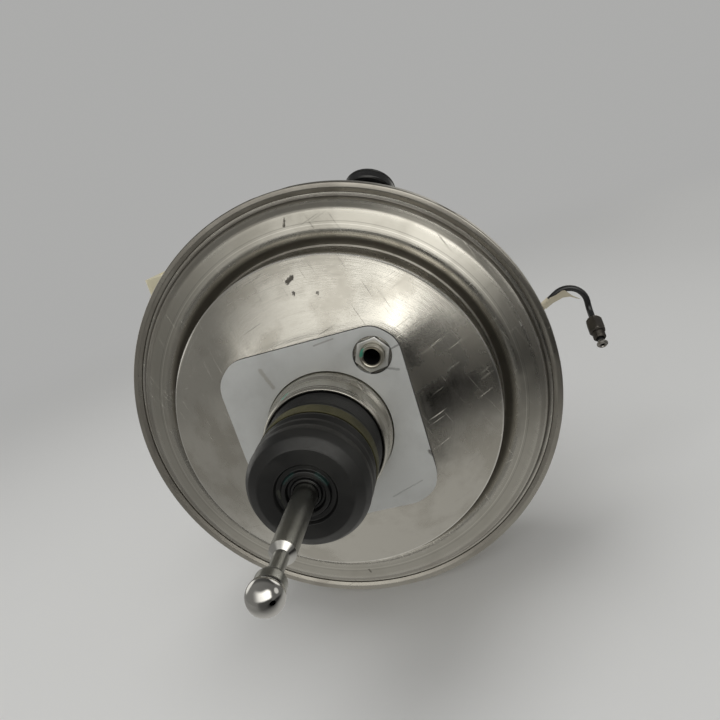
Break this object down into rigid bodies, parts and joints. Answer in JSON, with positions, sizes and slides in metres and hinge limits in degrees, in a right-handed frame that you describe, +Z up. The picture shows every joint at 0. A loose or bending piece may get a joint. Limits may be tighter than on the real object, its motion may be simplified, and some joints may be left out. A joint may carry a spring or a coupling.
{
  "type": "brake booster",
  "caption": "Round vacuum brake booster with a pedal push rod and boot, tandem master cylinder, fluid tank, vacuum check valve and an outlet pipe.",
  "frame": {"origin": "centre of the mounting face that meets the bulkhead, on the booster's axis", "axes": "+Y forward along the booster's axis towards the master cylinder, +Z up as fitted, +X to the right seen from the pedal"},
  "size_m": [0.3409, 0.459, 0.2848],
  "materials": {
    "rear_shell_metal": "satin, spun and scratched",
    "front_shell_metal": "satin",
    "gasket_foam": "matt closed-cell foam",
    "tie_rod_steel": "yellow passivated",
    "sleeve_nut_steel": "bright zinc",
    "inner_plastic": "natural nylon",
    "seal_rubber": "matt",
    "bright_steel": "machined",
    "valve_body_plastic": "moulded phenolic",
    "plated_steel": "yellow zinc",
    "diaphragm_rubber": "matt",
    "input_rod_steel": "satin grey with bright ball",
    "filter_felt": "open felt",
    "boot_rubber": "semi-matt",
    "band_olive": "satin",
    "spring_steel": "drawn wire",
    "cast_aluminium": "cast",
    "nut_steel": "yellow zinc",
    "anodised_piston": "hard anodised",
    "tank_plastic": "translucent cream",
    "cap_plastic": "moulded",
    "float_plastic": "moulded",
    "switch_plastic": "moulded",
    "check_plastic": "glossy moulding",
    "pipe_coating": "black coated",
    "tube_nut_steel": "dark phosphate",
    "tape_cream": "crinkled paper tape"
  },
  "bodies": {
    "casing": {"rear_shell": "rear_shell_metal", "front_shell": "front_shell_metal", "mount_gasket": "gasket_foam", "tie_rods": "tie_rod_steel", "sleeve_nuts": "sleeve_nut_steel", "guide_ring": "inner_plastic", "neck_seal": "seal_rubber", "seal_retainer": "bright_steel", "dust_boot": "boot_rubber", "boot_band": "band_olive", "diaphragm": "diaphragm_rubber", "main_spring": "spring_steel", "master_cylinder": "cast_aluminium", "mc_o_ring": "seal_rubber", "mc_nuts": "nut_steel", "piston_circlip": "bright_steel", "reservoir": "tank_plastic", "reservoir_grommets": "seal_rubber", "reservoir_pin": "bright_steel", "level_switch": "switch_plastic", "check_valve_grommet": "seal_rubber", "brake_pipe": "pipe_coating", "mc_pipe_nut": "tube_nut_steel", "pipe_tape": "tape_cream"},
    "power_piston": {"valve_body": "valve_body_plastic", "support_plate": "plated_steel", "tie_rod_seals": "seal_rubber", "plunger_key": "bright_steel", "reaction_disc": "seal_rubber", "output_rod": "bright_steel", "output_retainer": "plated_steel", "poppet_retainer": "plated_steel", "poppet": "seal_rubber", "poppet_spring": "spring_steel", "input_spring": "spring_steel", "air_filter": "filter_felt"},
    "plunger": {"valve_plunger": "bright_steel"},
    "input_rod": {"input_rod": "input_rod_steel", "spring_seat": "plated_steel"},
    "primary_piston": {"primary_piston": "anodised_piston", "primary_cups": "seal_rubber", "primary_spring": "spring_steel"},
    "secondary_piston": {"secondary_piston": "anodised_piston", "secondary_cups": "seal_rubber", "secondary_spring": "spring_steel"},
    "cap_seal": {"cap_insert": "seal_rubber"},
    "cap": {"reservoir_cap": "cap_plastic"},
    "float": {"level_float": "float_plastic"},
    "tube_nut": {"tube_nut": "tube_nut_steel"},
    "check_valve": {"check_valve_body": "check_plastic", "check_valve_cover": "check_plastic", "check_valve_spring": "spring_steel"},
    "check_disc": {"check_valve_disc": "seal_rubber"}
  },
  "joints": [
    {"name": "power_slide", "type": "slide", "parent": "casing", "child": "power_piston", "axis": [0, 1, 0], "range_m": [0, 0.028], "stiffness_N_per_m": 4000, "springref_m": -0.02, "deforming": ["main_spring", "diaphragm", "dust_boot", "boot_band", "primary_spring", "secondary_spring"]},
    {"name": "valve_slide", "type": "slide", "parent": "power_piston", "child": "plunger", "axis": [0, 1, 0], "range_m": [0, 0.0015], "stiffness_N_per_m": 4000, "springref_m": -0.004, "deforming": ["dust_boot", "boot_band", "input_spring", "poppet_spring", "poppet"]},
    {"name": "rod_swivel", "type": "hinge", "parent": "plunger", "child": "input_rod", "pos_m": [0, 0.025, 0], "axis": [1, 0, 0], "range_deg": [-3, 3], "stiffness_Nm_per_rad": 30, "deforming": ["dust_boot", "boot_band", "input_spring"]},
    {"name": "primary_slide", "type": "slide", "parent": "casing", "child": "primary_piston", "axis": [0, 1, 0], "range_m": [0, 0.028], "deforming": ["main_spring", "diaphragm", "dust_boot", "boot_band", "primary_spring", "secondary_spring"]},
    {"name": "secondary_slide", "type": "slide", "parent": "casing", "child": "secondary_piston", "axis": [0, 1, 0], "range_m": [0, 0.014], "deforming": ["main_spring", "diaphragm", "dust_boot", "boot_band", "primary_spring", "secondary_spring"]},
    {"name": "cap_lift", "type": "slide", "parent": "casing", "child": "cap_seal", "axis": [0, 0, 1], "range_m": [0, 0.04]},
    {"name": "cap_turn", "type": "hinge", "parent": "cap_seal", "child": "cap", "pos_m": [-0.048, 0.208, 0.12], "axis": [0, 0, 1], "range_deg": [0, 90]},
    {"name": "float_rise", "type": "slide", "parent": "casing", "child": "float", "axis": [0, 0, 1], "range_m": [0, 0.024]},
    {"name": "tube_nut_spin", "type": "hinge", "parent": "casing", "child": "tube_nut", "pos_m": [0.185, 0.18703, -0.03804], "axis": [0, -0.7986, -0.6018], "continuous": true},
    {"name": "check_valve_swivel", "type": "hinge", "parent": "casing", "child": "check_valve", "pos_m": [0.0484, 0.11238, 0.11571], "axis": [0.2481, 0.766, 0.593], "range_deg": [-100, 20]},
    {"name": "check_valve_lift", "type": "slide", "parent": "check_valve", "child": "check_disc", "axis": [0.2481, 0.766, 0.593], "range_m": [0, 0.002], "stiffness_N_per_m": 60, "springref_m": -0.001, "deforming": ["check_valve_spring"]}
  ],
  "couplings": [
    {"joint": "primary_slide", "follows": "power_slide", "ratio": 1},
    {"joint": "secondary_slide", "follows": "power_slide", "ratio": 0.5}
  ]
}
